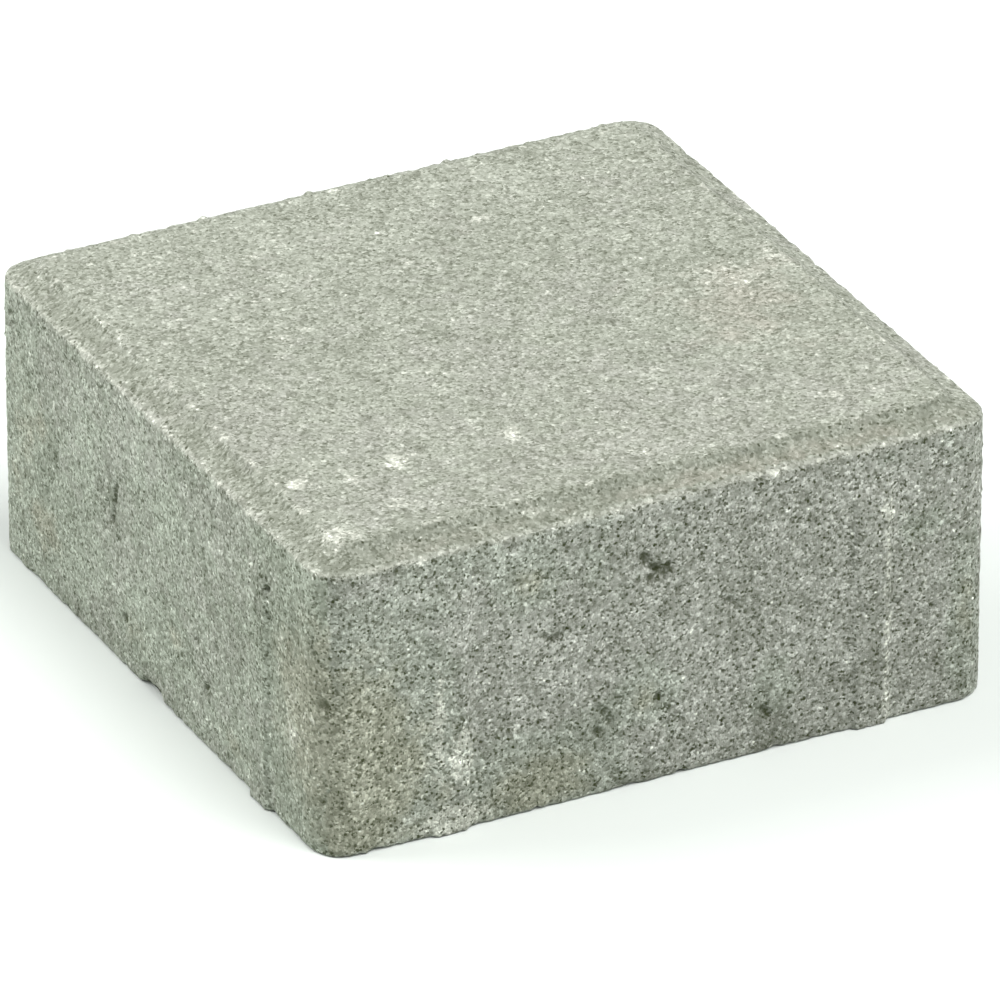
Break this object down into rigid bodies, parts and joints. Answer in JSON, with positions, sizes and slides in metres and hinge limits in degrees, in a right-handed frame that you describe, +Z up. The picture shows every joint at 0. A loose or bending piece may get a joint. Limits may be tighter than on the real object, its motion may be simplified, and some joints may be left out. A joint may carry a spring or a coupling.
{
  "type": "concrete paving stone",
  "caption": "Square block of pressed grey concrete for paving, with a stepped rim and ledge round the top face, rounded upright corners and low upright spacer nibs on its sides.",
  "frame": {"origin": "centre of the underside, in the plane the stone lies on", "axes": "+Z up, from the underside to the face that is walked on and along the stone's thickness; -Y towards the front side, which has two nibs like the back one, and X along it; the left and right sides have one nib each, towards the front"},
  "size_m": [0.1828, 0.1828, 0.08],
  "materials": {
    "concrete": "rough unpainted concrete with a fine sandy grain"
  },
  "bodies": {
    "root": {"paving_stone": "concrete"}
  },
  "joints": []
}
